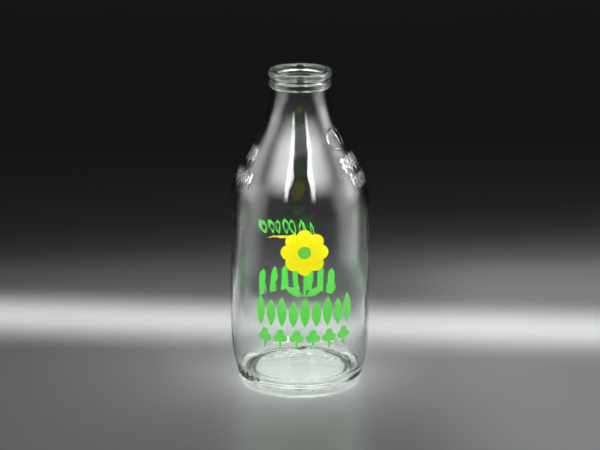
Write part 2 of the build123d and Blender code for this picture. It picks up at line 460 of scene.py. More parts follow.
def lathe_tree():
    """Turns a line of edges in the XZ plane round the Z axis."""
    tree, given, result = new_geometry_tree("lathe", [
        ("Columns", "Int"), ("Rim Row", "Int"), ("Material", "Material"),
    ])
    rows = place(tree, "GeometryNodeAttributeDomainSize", None, {"Geometry": given["Geometry"]})
    row_points = calculate(tree, "ADD", given["Columns"], 1.0)
    grid = place(tree, "GeometryNodeMeshGrid", None, {
        "Vertices X": rows.outputs["Point Count"], "Vertices Y": row_points,
    })
    index = tree.nodes.new("GeometryNodeInputIndex").outputs[0]
    row = calculate(tree, "FLOOR", calculate(tree, "DIVIDE", calculate(tree, "ADD", index, 0.5), row_points))
    column = calculate(tree, "SUBTRACT", index, product(tree, row, row_points))
    turn = calculate(tree, "DIVIDE", product(tree, column, 2 * math.pi), given["Columns"])
    position = tree.nodes.new("GeometryNodeInputPosition").outputs[0]
    section_point = place(tree, "GeometryNodeSampleIndex", {"data_type": "FLOAT_VECTOR"}, {
        "Geometry": given["Geometry"], "Value": position, "Index": row,
    })
    point = place(tree, "ShaderNodeSeparateXYZ", None, {0: section_point.outputs[0]})
    spot = place(tree, "ShaderNodeCombineXYZ", None, {
        "X": product(tree, point.outputs["X"], calculate(tree, "COSINE", turn)),
        "Y": product(tree, point.outputs["X"], calculate(tree, "SINE", turn)),
        "Z": point.outputs["Z"],
    })
    is_inside = calculate(tree, "GREATER_THAN", row, given["Rim Row"])
    marked = place(tree, "GeometryNodeStoreNamedAttribute", {"data_type": "FLOAT", "domain": "POINT"}, {
        "Geometry": grid.outputs["Mesh"], "Name": "inside", "Value": is_inside,
    })
    turned = place(tree, "GeometryNodeSetPosition", None, {
        "Geometry": marked.outputs[0], "Position": spot.outputs[0],
    })
    # The grid's first and last columns meet, and so do all the points of a pole.
    joined = place(tree, "GeometryNodeMergeByDistance", None, {
        "Geometry": turned.outputs[0], "Distance": MERGE_DISTANCE,
    })
    smooth = place(tree, "GeometryNodeSetShadeSmooth", None, {"Geometry": joined.outputs[0]})
    end_geometry_tree(tree, smooth.outputs[0], given["Material"], result)
    return tree


# %% [markdown]
# ## Relief
#
# A raised stroke is under a millimetre wide, and a mesh fine enough for it all over would be ten times
# heavier than it has to be. So the faces near the marks are divided first, and each new point is set back
# on the true outside. Then a second tree lifts the glass wherever it passes close to a line. The same tree
# lets the inner wall waver, because a blown wall is never as true as the mould that shapes its outside.

# %% Finer faces near the marks
foot_radius = 31.5 * MM              # inner edge of the ring that the bottle stands on


def refine(piece, paths, reach, cuts):
    """Divides the outside's faces near the paths, and puts the new points of the wall on the true outside."""
    spots = [point for path in paths for pair in zip(path, path[1:])
             for point in (pair[0], pair[0].lerp(pair[1], 0.5))] + [path[-1] for path in paths]
    near = KDTree(len(spots))
    for number, spot in enumerate(spots):
        near.insert(spot, number)
    near.balance()
    shape = bmesh.new()
    shape.from_mesh(piece.data)
    inside = shape.verts.layers.float["inside"]
    chosen = {vert for vert in shape.verts if vert[inside] < 0.5 and near.find(vert.co)[2] < reach}
    edges = [edge for edge in shape.edges if edge.verts[0] in chosen and edge.verts[1] in chosen]
    divided = bmesh.ops.subdivide_edges(shape, edges=edges, cuts=cuts, use_grid_fill=True)
    added = [part for part in divided["geom_inner"] if isinstance(part, bmesh.types.BMVert)]
    for vert in added:
        flat = Vector((vert.co.x, vert.co.y))
        if flat.length > foot_radius:
            vert.co.x, vert.co.y = flat.normalized() * outside_radius(vert.co.z)
    print(len(added), "points added near the marks,", round(shape.calc_volume(signed=True) * 1e6, 1), "cm3")
    shape.to_mesh(piece.data)
    shape.free()


# %% Relief tree


def relief_tree():
    """Lifts the outside near the marks and lets the inside waver."""
    tree, given, result = new_geometry_tree("relief", [
        ("Marks", "Object"), ("Mark Width", "Float"), ("Mark Height", "Float"), ("Ripple", "Float"),
        ("Ripple Scale", "Float"), ("Seed", "Float"), ("Material", "Material"),
    ])
    normal = tree.nodes.new("GeometryNodeInputNormal").outputs[0]
    lines = place(tree, "GeometryNodeObjectInfo", None, {"Object": given["Marks"]})
    nearness = place(tree, "GeometryNodeProximity", {"target_element": "EDGES"}, {
        0: lines.outputs["Geometry"],
    })
    lift = ease(tree, nearness.outputs["Distance"], 0.0, given["Mark Width"], given["Mark Height"], 0.0)
    inside_field = place(tree, "GeometryNodeInputNamedAttribute", {"data_type": "FLOAT"}, {"Name": "inside"})
    cloud = place(tree, "ShaderNodeTexNoise", {"noise_dimensions": "4D"}, {
        "W": given["Seed"], "Scale": given["Ripple Scale"], "Detail": 2.0, "Roughness": 0.45,
    })
    centred = calculate(tree, "SUBTRACT", cloud.outputs[0], 0.5)
    waver = product(tree, centred, given["Ripple"], inside_field.outputs["Attribute"])
    # The plunger shapes the bore and the mould plate the floor, so the wall wavers only between them.
    position = tree.nodes.new("GeometryNodeInputPosition").outputs[0]
    height = place(tree, "ShaderNodeSeparateXYZ", None, {0: position}).outputs["Z"]
    for true_height, free_height in ((12 * MM, 30 * MM), (neck_top, neck_corner)):
        waver = product(tree, waver, ease(tree, height, true_height, free_height))
    push = place(tree, "ShaderNodeVectorMath", {"operation": "SCALE"}, {
        0: normal, "Scale": calculate(tree, "ADD", lift, waver),
    })
    shaped = place(tree, "GeometryNodeSetPosition", None, {
        "Geometry": given["Geometry"], "Offset": push.outputs[0],
    })
    end_geometry_tree(tree, shaped.outputs[0], given["Material"], result)
    return tree


# %% [markdown]
# ## Wear
#
# A returnable bottle goes round many times. It rubs on its neighbours at the two places where it is widest,
# just above the heel and just below the shoulder, and the washing machine leaves fine scratches everywhere.
# The glass and the enamel wear in the same places, so one node group works it out for both.

# %% Node group: crate_wear


def crate_wear():
    """1 on rubbed glass and 0 on clean glass, on Object coordinates in metres."""
    tree, given, result = new_tree("crate_wear", "ShaderNodeTree", [
        ("Low Ring", "Float"), ("High Ring", "Float"), ("Ring Width", "Float"), ("Scratches", "Float"),
    ], [("Wear", "Float")])
    where = tree.nodes.new("ShaderNodeTexCoord").outputs["Object"]
    height = place(tree, "ShaderNodeSeparateXYZ", None, {0: where}).outputs["Z"]
    rings = []
    for name in ("Low Ring", "High Ring"):
        away = calculate(tree, "ABSOLUTE", calculate(tree, "SUBTRACT", height, given[name]))
        rings.append(ease(tree, away, 0.0, given["Ring Width"], 1.0, 0.0))
    scuffs = ease(tree, noise(tree, where, 900.0, 5.0, 0.7), 0.54, 0.64, slope="LINEAR")
    # Bottles turn as they rub, so most scratches lie level.
    level = place(tree, "ShaderNodeVectorMath", {"operation": "MULTIPLY"}, {
        0: where, 1: (110.0, 110.0, 2600.0),
    })
    lines = noise(tree, level.outputs[0], 1.0, 3.0)
    scratches = ease(tree, lines, 0.70, 0.74, 0.0, given["Scratches"], "LINEAR")
    rubbed = product(tree, calculate(tree, "MAXIMUM", *rings), scuffs)
    tree.links.new(calculate(tree, "MAXIMUM", rubbed, scratches), result["Wear"])
    return tree


crate_wear_group = crate_wear()
WEAR = {"Low Ring": 33 * MM, "High Ring": 103 * MM, "Ring Width": 4.5 * MM}

# %% [markdown]
# ## Clear glass
#
# Window-clear glass is a Principled shader with all its weight on transmission and the index of soda-lime
# glass, 1.52. Its faint green comes from iron, and it shows where light travels a long way through glass:
# at the rim and in the foot. A volume does that, because it tints by distance, while a tinted surface would
# tint everywhere alike. Only the beads at the mouth have a little green on their surface as well.
#
# The surface isn't perfect. The mould leaves slow waves that bend the reflections, two hairline seams where
# its halves meet, and a stippled ring that the bottle stands on. Use has frosted the underside and rubbed
# the lip.

# %% Wear and waves of the glass
clear_tint = (0.985, 1.0, 0.988, 1)
lip_tint = (0.93, 1.0, 0.92, 1)
iron_green = (0.74, 0.97, 0.80, 1)
underside_frost = 0.42               # roughness under the foot
lip_frost = 0.17                     # roughness of the beads at the mouth
rub_frost = 0.28                     # roughness where bottles rub on each other


def distance_from_axis(tree, split):
    """How far a place is from the bottle's axis. split is its position, taken apart."""
    flat = place(tree, "ShaderNodeCombineXYZ", None, {"X": split["X"], "Y": split["Y"]})
    return place(tree, "ShaderNodeVectorMath", {"operation": "LENGTH"}, {0: flat.outputs[0]}).outputs["Value"]


def glass_frost(tree, split, radius, lip, wear):
    """Roughness of the outside: years of sliding, filling, capping and rubbing."""
    # The frost of the underside runs out a little way up the heel.
    low = calculate(tree, "LESS_THAN", split["Z"], push_up + 0.3 * MM)
    under = product(tree, low, ease(tree, radius, 33.2 * MM, 36.5 * MM, 1.0, 0.0), underside_frost)
    frost = calculate(tree, "MAXIMUM", under, product(tree, lip, lip_frost))
    return calculate(tree, "MAXIMUM", frost, product(tree, wear, rub_frost))


def glass_height(tree, where, split, radius):
    """Height of the outside's small unevenness, as a share of the bump's distance."""
    # Slow waves, drawn out upwards by the blow.
    drawn = place(tree, "ShaderNodeVectorMath", {"operation": "MULTIPLY"}, {0: where, 1: (1.0, 1.0, 0.45)})
    waves = noise(tree, drawn.outputs[0], 62.0, 3.0, distortion=0.6)
    # The seams lie on the bottle's left and right.
    seam = ease(tree, calculate(tree, "ABSOLUTE", split["Y"]), 0.05 * MM, 0.35 * MM, 0.11, 0.0)
    # The ring that the bottle stands on is stippled.
    aside = calculate(tree, "ABSOLUTE", calculate(tree, "SUBTRACT", radius, foot_radius))
    low = calculate(tree, "LESS_THAN", split["Z"], 1.6 * MM)
    dots = place(tree, "ShaderNodeTexVoronoi", {"feature": "SMOOTH_F1"}, {"Vector": where, "Scale": 850.0})
    stipple = product(tree, ease(tree, aside, 0.8 * MM, 2.2 * MM, 0.8, 0.0), low, dots.outputs["Distance"])
    return calculate(tree, "ADD", calculate(tree, "ADD", waves, seam), stipple)


# %% Glass material


def glass_material():
    """Clear glass, uneven and worn on the outside and fire-polished inside."""
    material, tree, shader = new_material("clear_bottle_glass")
    shader.inputs["IOR"].default_value = 1.52
    shader.inputs["Transmission Weight"].default_value = 1.0
    absorb = place(tree, "ShaderNodeVolumeAbsorption", None, {"Color": iron_green, "Density": 12.0})
    tree.links.new(absorb.outputs[0], tree.nodes["Material Output"].inputs["Volume"])

    where = tree.nodes.new("ShaderNodeTexCoord").outputs["Object"]
    split = place(tree, "ShaderNodeSeparateXYZ", None, {0: where}).outputs
    radius = distance_from_axis(tree, split)
    inside = place(tree, "ShaderNodeAttribute", {"attribute_name": "inside"}).outputs["Fac"]
    outside = calculate(tree, "SUBTRACT", 1.0, inside)
    wear = place(tree, "ShaderNodeGroup", {"node_tree": crate_wear_group}, {**WEAR, "Scratches": 0.35})

    # The beads of the lip are thick, so the iron's green is strongest there.
    lip = ease(tree, split["Z"], neck_top, neck_top + 1 * MM)
    tree.links.new(blend(tree, lip, clear_tint, lip_tint), shader.inputs["Base Color"])
    frost = glass_frost(tree, split, radius, lip, wear.outputs[0])
    tree.links.new(product(tree, frost, outside), shader.inputs["Roughness"])
    bump = place(tree, "ShaderNodeBump", None, {
        "Height": product(tree, glass_height(tree, where, split, radius), outside),
        "Strength": 1.0, "Distance": 0.3 * MM,
    })
    tree.links.new(bump.outputs[0], shader.inputs["Normal"])
    return material


# %% Turn the bottle and raise the marks
clear_glass = glass_material()
turned = grow("turned_glass", line_mesh("section", [[(p.x, 0, p.y) for p in section]]), lathe_tree(), {
    "Columns": 240, "Rim Row": rim_row, "Material": clear_glass,
})
refine(turned, all_marks, 1.5 * MM, 3)
glass = grow("glass_bottle", turned.data.copy(), relief_tree(), {
    "Marks": marks, "Mark Width": 0.56 * MM, "Mark Height": 0.58 * MM,
    "Ripple": 1.0 * MM, "Ripple Scale": 48.0, "Seed": 3.0, "Material": clear_glass,
})
bpy.data.objects.remove(marks)
bpy.data.objects.remove(turned)
glass_shape = bmesh.new()
glass_shape.from_mesh(glass.data)
volume, open_edges = close_up(glass_shape, glass)
# Light reaches the table and the back print through clear glass, so the glass throws no shadow of its own.
glass.visible_shadow = False
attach(glass, "root")
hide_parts("glass_body")
triangles = sum(len(face.vertices) - 2 for face in glass.data.polygons)
print("glass:", triangles, "triangles,", round(volume * 1e6, 1), "cm3,", open_edges, "open edges")

# %% [markdown]
# ## The enamel prints
#
# The colours are glass enamel, pressed through a silk screen on to the finished bottle and then fired until
# they melt into it. Each colour is a thin skin with a crisp outline. A flat shape can't simply be shrunk on
# to a cylinder, because its few long faces would cut through the glass. So each shape is filled flat,
# sliced into narrow upright strips, given its thickness, and only then wrapped round the panel.
#
# The skin reaches a hair's breadth into the glass, because fired enamel touches it with no air between.
# That is why the back print looks solid from the front, where it is seen through the bottle.

# %% Sizes of the prints
print_depth = 0.05 * MM              # how far the enamel reaches into the glass
print_height = 0.10 * MM             # how far it stands out
panel_height = panel_top - heel_top


def across(angle):
    """Distance from the axis, seen from straight ahead, of a place on the panel."""
    return body_radius * math.sin(math.radians(angle))


def up_panel(share):
    """Height of a place on the panel, given as a share of the panel's height."""
    return heel_top + share * panel_height


# %% Flat outlines


def closed(points):
    """A path of flat (x, y) points that returns to its first point."""
    path = [Vector((x, y, 0)) for x, y in points]
    return path + [path[0]]


def leaf(length, width, foot=0.0, steps=14):
    """Pointed leaf between two arcs, standing at the given height."""
    half = width / 2
    bow = (length * length / 4 + half * half) / (2 * half)
    edge = []
    for n in range(steps):
        y = length * (n / steps - 0.5)
        edge.append((math.sqrt(bow * bow - y * y) - bow + half, foot + length / 2 + y))
    return closed(edge + [(-x, foot + length - (y - foot)) for x, y in edge])


def ray_reach(origin, turn, circle):
    """How far a ray from the origin runs before it leaves a circle, or 0 if it misses it."""
    x, y, radius = circle
    to_centre = Vector((x, y)) - Vector(origin)
    ray = Vector((math.cos(turn), math.sin(turn)))
    along = to_centre.dot(ray)
    miss = to_centre.length_squared - along * along
    return along + math.sqrt(radius * radius - miss) if miss < radius * radius else 0.0


def lobed(origin, circles, steps):
    """Outline of overlapping circles that can all be seen from one point inside."""
    points = []
    for n in range(steps):
        turn = 2 * math.pi * n / steps
        reach = max(ray_reach(origin, turn, circle) for circle in circles)
        points.append((origin[0] + reach * math.cos(turn), origin[1] + reach * math.sin(turn)))
    return closed(points)


def circle_path(radius, steps=48):
    return lobed((0, 0), [(0, 0, radius)], steps)


def placed(path, x=0.0, y=0.0, turn=0.0):
    """The path turned by some degrees about the origin and moved."""
    move = Matrix.Translation((x, y, 0)) @ Matrix.Rotation(math.radians(turn), 4, "Z")
    return [move @ point for point in path]


# %% [markdown]
# ## Fired enamel
#
# Fired enamel isn't flat paint. The silk screen leaves a faint weave of dots, the paste dries a little
# thicker here and thinner there, tiny bubbles burst in the kiln and leave pinholes, and years of crates and
# washing dull it. One node group works that out for every colour: it gives a colour, a roughness and a
# height, and each enamel mixes its own thin and thick colours with it.

# %% Node group: print_texture


def print_texture():
    """Colour, roughness and height of a screen-printed enamel, on Object coordinates in metres."""
    tree, given, result = new_tree("print_texture", "ShaderNodeTree", [
        ("Thick Color", "Color"), ("Thin Color", "Color"), ("Mottle Scale", "Float"),
        ("Screen Scale", "Float"), ("Pinholes", "Float"), ("Wear", "Float"),
    ], [("Color", "Color"), ("Roughness", "Float"), ("Height", "Float")])
    where = tree.nodes.new("ShaderNodeTexCoord").outputs["Object"]

    mottle = noise(tree, where, given["Mottle Scale"], 4.0, 0.6)
    patches = ease(tree, mottle, 0.38, 0.66)
    # The screen is a square weave, turned a little on the glass.
    lie = place(tree, "ShaderNodeVectorRotate", {"rotation_type": "Y_AXIS"}, {"Vector": where, "Angle": 0.35})
    cloth = place(tree, "ShaderNodeVectorMath", {"operation": "SCALE"}, {
        0: lie.outputs[0], "Scale": given["Screen Scale"],
    })
    thread = place(tree, "ShaderNodeSeparateXYZ", None, {0: cloth.outputs[0]})
    weave = product(tree, *(calculate(tree, "SINE", thread.outputs[axis]) for axis in "XZ"))
    specks = place(tree, "ShaderNodeTexVoronoi", {"feature": "F1"}, {"Vector": where, "Scale": 2600.0})
    rare = noise(tree, where, 420.0, 1.0)
    pit_size = product(tree, calculate(tree, "SUBTRACT", rare, 0.52), given["Pinholes"])
    pits = calculate(tree, "LESS_THAN", specks.outputs["Distance"], pit_size)
    worn = ease(tree, noise(tree, where, 130.0, 6.0, 0.7), 0.45, 0.75, 0.0, given["Wear"], "LINEAR")

    thin = calculate(tree, "ADD", product(tree, patches, 0.75), product(tree, weave, 0.10))
    paste = blend(tree, thin, given["Thick Color"], given["Thin Color"])
    tree.links.new(blend(tree, pits, paste, (0.55, 0.55, 0.55, 1), "MULTIPLY"), result["Color"])
    rough = calculate(tree, "ADD", calculate(tree, "ADD", 0.30, worn), product(tree, patches, 0.08))
    tree.links.new(rough, result["Roughness"])
    bumps = calculate(tree, "ADD", product(tree, mottle, 0.5), product(tree, weave, 0.12))
    tree.links.new(calculate(tree, "SUBTRACT", bumps, product(tree, pits, 0.6)), result["Height"])
    return tree


print_texture_group = print_texture()

# %% Enamel materials


def enamel(name, thick, thin, light_through):
    """One colour of fired enamel. light_through is how much of the light that meets it soaks into it."""
    material, tree, shader = new_material(name)
    texture = place(tree, "ShaderNodeGroup", {"node_tree": print_texture_group}, {
        "Thick Color": (*thick, 1), "Thin Color": (*thin, 1), "Mottle Scale": 260.0, "Screen Scale": 9000.0,
        "Pinholes": 1.6, "Wear": 0.22,
    })
    wear = place(tree, "ShaderNodeGroup", {"node_tree": crate_wear_group}, {**WEAR, "Scratches": 0.5})
    # Rubbed enamel is chalky, so it is paler.
    chalk = (*(0.3 + 0.7 * c for c in thin), 1)
    colour = blend(tree, product(tree, wear.outputs[0], 0.45), texture.outputs["Color"], chalk)
    bump = place(tree, "ShaderNodeBump", None, {
        "Height": texture.outputs["Height"], "Strength": 0.35, "Distance": 0.05 * MM,
    })
    tree.links.new(colour, shader.inputs["Base Color"])
    rough = calculate(tree, "ADD", texture.outputs["Roughness"], product(tree, wear.outputs[0], 0.3))
    tree.links.new(rough, shader.inputs["Roughness"])
    tree.links.new(bump.outputs[0], shader.inputs["Normal"])
    shader.inputs["Specular IOR Level"].default_value = 0.25
    shader.inputs["Subsurface Weight"].default_value = light_through
    shader.inputs["Subsurface Radius"].default_value = (1.0, 1.0, 1.0)
    shader.inputs["Subsurface Scale"].default_value = 1.4 * MM
    return material


enamels = {
    "yellow_enamel": enamel("fired_yellow", (1.0, 0.85, 0.004), (1.0, 0.76, 0.002), 0.6),
    "green_enamel": enamel("fired_green", (0.052, 0.55, 0.034), (0.045, 0.47, 0.028), 0.6),
    "amber_enamel": enamel("fired_amber", (1.0, 0.58, 0.03), (0.92, 0.46, 0.02), 0.6),
}
print(len(enamels), "enamels")

# %% [markdown]
# ## Rows of one motif
#
# Grass, clovers, leaves and pickets repeat round the panel, so one Geometry Nodes tree sets them all out.
# It fills the outline, puts a copy at each step, leans it, and makes it narrower where the panel turns
# away, so that each copy has the same width when it is measured along the glass.

# %% Row tree


def row_tree():
    """Sets out copies of a flat outline, with their widths measured along the glass."""
    tree, given, result = new_geometry_tree("print_row", [
        ("Count", "Int"), ("First Angle", "Float"), ("Last Angle", "Float"), ("Panel Radius", "Float"),
        ("Foot", "Float"), ("Fall", "Float"), ("Lean", "Float"), ("Sway", "Float"), ("Short", "Float"),
        ("Material", "Material"),
    ])
    outline = place(tree, "GeometryNodeMeshToCurve", None, {"Mesh": given["Geometry"]})
    filled = place(tree, "GeometryNodeFillCurve", None, {"Curve": outline.outputs[0]})
    points = place(tree, "GeometryNodePoints", None, {"Count": given["Count"]})
    number = tree.nodes.new("GeometryNodeInputIndex").outputs[0]
    last = calculate(tree, "MAXIMUM", calculate(tree, "SUBTRACT", given["Count"], 1.0), 1.0)
    share = calculate(tree, "DIVIDE", number, last)
    swing = calculate(tree, "SUBTRACT", given["Last Angle"], given["First Angle"])
    angle = calculate(tree, "ADD", given["First Angle"], product(tree, share, swing))
    spot = place(tree, "ShaderNodeCombineXYZ", None, {
        "X": product(tree, given["Panel Radius"], calculate(tree, "SINE", angle)),
        "Y": calculate(tree, "SUBTRACT", given["Foot"], product(tree, given["Fall"], share)),
    })
    set_out = place(tree, "GeometryNodeSetPosition", None, {
        "Geometry": points.outputs[0], "Position": spot.outputs[0],
    })
    odd = calculate(tree, "MODULO", number, 2.0)
    side = calculate(tree, "SUBTRACT", 1.0, product(tree, odd, 2.0))
    turn = place(tree, "ShaderNodeCombineXYZ", None, {
        "Z": calculate(tree, "ADD", given["Lean"], product(tree, given["Sway"], side)),
    })
    size = place(tree, "ShaderNodeCombineXYZ", None, {
        "X": calculate(tree, "COSINE", angle),
        "Y": calculate(tree, "SUBTRACT", 1.0, product(tree, odd, given["Short"])), "Z": 1.0,
    })
    copies = place(tree, "GeometryNodeInstanceOnPoints", None, {
        "Points": set_out.outputs[0], "Instance": filled.outputs[0],
        "Rotation": turn.outputs[0], "Scale": size.outputs[0],
    })
    end_geometry_tree(tree, copies.outputs[0], given["Material"], result)
    return tree


print_rows = row_tree()


# %% Wrap a flat print round the panel
STRIP = math.radians(0.9)            # width of one strip, as an angle round the bottle
PRINT_END = math.radians(60)         # no print reaches further round than this
EDGE_ROUND = 0.03 * MM
SAME_POINT = 1e-7                    # metres: points closer than this are one
ON_CUT = 1e-8                        # metres: points closer to a cut than this lie on it


def wrap(piece, side):
    """Slices, thickens and wraps a flat print. side -1 is the front of the bottle and 1 is its back."""
    shape = bmesh.new()
    shape.from_mesh(piece.data)
    bmesh.ops.remove_doubles(shape, verts=shape.verts, dist=SAME_POINT)
    strips = math.ceil(PRINT_END / STRIP)
    for n in range(-strips, strips + 1):
        everything = shape.verts[:] + shape.edges[:] + shape.faces[:]
        cut = (body_radius * math.sin(n * STRIP), 0, 0)
        bmesh.ops.bisect_plane(shape, geom=everything, dist=ON_CUT, plane_co=cut, plane_no=(1, 0, 0))
    for face in shape.faces:
        if face.normal.z < 0:
            face.normal_flip()
    skin = bmesh.ops.extrude_face_region(shape, geom=shape.faces[:], use_keep_orig=True)
    raised = [part for part in skin["geom"] if isinstance(part, bmesh.types.BMVert)]
    top = set(raised)
    for vert in shape.verts:
        vert.co.z = print_height if vert in top else -print_depth
    top_rim = [edge for edge in shape.edges if edge.verts[0] in top and edge.verts[1] in top
               and any(any(v not in top for v in face.verts) for face in edge.link_faces)]
    bmesh.ops.bevel(shape, geom=top_rim, offset=EDGE_ROUND, segments=2, affect="EDGES", clamp_overlap=True)
    for vert in shape.verts:
        turn = math.asin(max(-1.0, min(1.0, vert.co.x / body_radius)))
        radius = body_radius + vert.co.z
        vert.co = Vector((radius * math.sin(turn), side * radius * math.cos(turn), vert.co.y))
    return close_up(shape, piece)[1]


def print_piece(name, node, paths, finish, side, count=1, first=0.0, last=0.0, foot=0.0, fall=0.0,
                lean=0.0, sway=0.0, short=0.0):
    """One enamel print: a motif set out in a row and wrapped round the panel in place of its CAD node."""
    piece = grow(name, line_mesh(name, paths), print_rows, {
        "Count": count, "First Angle": math.radians(first), "Last Angle": math.radians(last),
        "Panel Radius": body_radius, "Foot": foot, "Fall": fall, "Lean": math.radians(lean),
        "Sway": math.radians(sway), "Short": short, "Material": enamels[finish],
    })
    open_edges = wrap(piece, side)
    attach(piece, "root")
    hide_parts(node)
    print(name + ":", len(piece.data.polygons), "faces,", open_edges, "open edges")
    return piece


# %% [markdown]
# ## The print on the front
#
# A yellow flower stands on a green stem in a row of grass, with clovers under it. The yellow and the green
# are two passes through the screen, so they never touch: a hairline of bare glass between them hides a
# small misfit.

# %% Front print: flower
FRONT, BACK = -1, 1
gap = 0.3 * MM                       # bare glass between the yellow and the green
flower_angle = 3.6                   # degrees from the front, as are all the angles of the prints
flower_height = up_panel(0.776)
flower_radius = 13.2 * MM
petal_radius = 4.4 * MM
eye_radius = 3.2 * MM
petal_reach = flower_radius - petal_radius
petals = [(0, 0, petal_reach)]
for petal in range(8):
    turn = petal * math.pi / 4
    petals.append((petal_reach * math.cos(turn), petal_reach * math.sin(turn), petal_radius))
flower_x = across(flower_angle)
flower_outline = lobed((0, 0), petals, 160)
flower_paths = [placed(path, flower_x) for path in (flower_outline, circle_path(eye_radius + gap))]
prints = [print_piece("front_flower", "front_flower_yellow", flower_paths, "yellow_enamel", FRONT,
                      foot=flower_height)]

# %% Front print: stem and grass
print_centre = 4.0
grass_swing = 37.24                  # from the middle of the print to its last blade
grass_short = 2.4 / 18               # every second blade is shorter by this share
blade_foot = up_panel(0.18)
blade_length = 18.0 * MM
blade_width = 5.4 * MM
stem_foot = blade_foot + blade_length + gap
stem_length = flower_height - flower_radius - gap - stem_foot
stem_half = 0.65 * MM
stem_leaf = leaf(11 * MM, 4.2 * MM)
leaf_side, leaf_lift, leaf_lean = 0.8 * MM, 0.3 * MM, 62
stem = closed([(-stem_half, 0), (stem_half, 0), (stem_half, stem_length), (-stem_half, stem_length)])
prints.append(print_piece("front_stem", "front_stem_green", [
    placed(stem, flower_x, stem_foot), placed(circle_path(eye_radius), flower_x, flower_height),
    placed(stem_leaf, flower_x + leaf_side, stem_foot + leaf_lift, -leaf_lean),
    placed(stem_leaf, flower_x - leaf_side, stem_foot + leaf_lift, leaf_lean),
], "green_enamel", FRONT))
prints.append(print_piece("front_grass", "front_grass_green", [leaf(blade_length, blade_width)],
                          "green_enamel", FRONT, count=9, first=print_centre - grass_swing,
                          last=print_centre + grass_swing, foot=blade_foot, short=grass_short))

# %% Front print: clovers
clover_swing = 33.5                  # from the middle of the print to its last clover
clover_leaf = 2.15 * MM
clover_waist = 6.0 * MM
clover_spread = 0.92 * clover_leaf
clover_crown = clover_waist + clover_leaf + 0.45 * clover_spread
clover = [(-clover_spread, clover_waist, clover_leaf), (clover_spread, clover_waist, clover_leaf),
          (0, clover_crown, clover_leaf)]


def clover_path():
    """Three round leaves, with the stem set into the foot of the outline."""
    half = 0.7 * MM
    stem_top = clover_waist - 1.6 * MM
    outline = lobed((0, clover_waist + 0.8 * MM), clover, 96)[:-1]
    notch = [p for p in outline if not (abs(p.x) < half and p.y < clover_waist)]
    first = next(n for n, p in enumerate(notch) if n and notch[n - 1].x < 0 <= p.x and p.y < clover_waist)
    leaves = [(p.x, p.y) for p in notch[first:] + notch[:first]]
    return closed(leaves + [(-half, stem_top), (-half, 0), (half, 0), (half, stem_top)])


prints.append(print_piece("front_clovers", "front_clovers_green", [clover_path()], "green_enamel", FRONT,
                          count=6, first=print_centre - clover_swing, last=print_centre + clover_swing,
                          foot=up_panel(0.008)))

# %% [markdown]
# ## The print on the back
#
# A garland of leaves drawn in outline comes down over a thin amber stroke, with a picket fence below.
# Angles are as seen from the front through the glass, because that is how this side is mostly seen.

# %% Back print
garland_first, garland_last = -33, 13
garland_foot = up_panel(0.624)
garland_fall = 5.5 * MM
leaf_length, leaf_width, leaf_line = 10.4 * MM, 3.8 * MM, 0.8 * MM
inner_width = leaf_width - 2 * leaf_line
inner_length = leaf_length * inner_width / leaf_width
inner_foot = (leaf_length - inner_length) / 2
drawn_leaf = [leaf(leaf_length, leaf_width), leaf(inner_length, inner_width, inner_foot)]
prints.append(print_piece("back_garland", "back_garland_green", drawn_leaf, "green_enamel", BACK, count=7,
                          first=garland_first, last=garland_last, foot=garland_foot, fall=garland_fall,
                          lean=16, sway=3))

swash_drop = 2.6 * MM                # from the garland's foot to the stroke
swash_left = Vector((across(garland_first), garland_foot - swash_drop))
swash_right = Vector((across(garland_last), garland_foot - garland_fall - swash_drop))


def swash_path(bow=1.2 * MM, width=1.5 * MM, steps=24):
    """A curved stroke, thick in the middle and pointed at its ends."""
    lower, upper = [], []
    for n in range(steps + 1):
        share = n / steps
        base = swash_left.lerp(swash_right, share)
        hump = 4 * share * (1 - share)
        lower.append((base.x, base.y + hump * (bow - width / 2)))
        upper.append((base.x, base.y + hump * (bow + width / 2)))
    return closed(lower + upper[-2:0:-1])


prints.append(print_piece("back_swash", "back_swash_amber", [swash_path()], "amber_enamel", BACK))
picket_half, picket_shoulder, picket_tip = 2 * MM, 12.5 * MM, 15.5 * MM
picket = closed([(-picket_half, 0), (picket_half, 0), (picket_half, picket_shoulder), (0, picket_tip),
                 (-picket_half, picket_shoulder)])
prints.append(print_piece("back_pickets", "back_pickets_green", [picket], "green_enamel", BACK, count=7,
                          first=-36, last=30, foot=up_panel(0.12)))

# %% [markdown]
# ## Studio
#
# Clear glass shows the room, so the room is part of the picture. The paper is pale under the bottle and is
# painted darker behind it, a painted shade that stands in for the light falling off towards the back, which
# gives the outline of the glass something to stand against. Two tall softboxes make the bright streaks down
# the shoulder, and two wide ones the soft glow beside them. Their edges fade, because a hard edge shows in
# glass as a hard line. Some lamps light only the glass or only the print: a studio would do that with flags.

# %% Background paper
# Painted shade: the paper's brightness at distances behind the bottle's axis, in metres, darker further back.
painted_paper_shade = [(0.00, 0.60), (0.17, 0.60), (0.22, 0.42), (0.265, 0.20), (0.32, 0.115), (0.43, 0.075),
               (0.60, 0.055)]
# Painted shade: the darkening is slanted, so the paper's left side is painted darker than its right.
painted_shade_turn = 0.16                    # how far the grade comes forward for each metre to the left


def shaded_paper_material():
    """Background paper that is pale in front and painted darker towards the back, as painted shade."""
    material, tree, shader = new_material("paper_painted_shade")
    where = place(tree, "ShaderNodeTexCoord")
    depth = place(tree, "ShaderNodeSeparateXYZ", None, {0: where.outputs["Object"]})
    shade_distance = calculate(tree, "SUBTRACT", depth.outputs["Y"], product(tree, depth.outputs["X"], painted_shade_turn))
    ramp = place(tree, "ShaderNodeValToRGB", None, {0: shade_distance})
    stops = ramp.color_ramp.elements
    stops.remove(stops[1])
    for distance, grey in painted_paper_shade:
        stop = stops.new(distance) if distance else stops[0]
        stop.position = distance
        stop.color = (grey, grey, grey * 1.02, 1)
    tree.links.new(ramp.outputs[0], shader.inputs["Base Color"])
    shader.inputs["Roughness"].default_value = 0.3
    return material


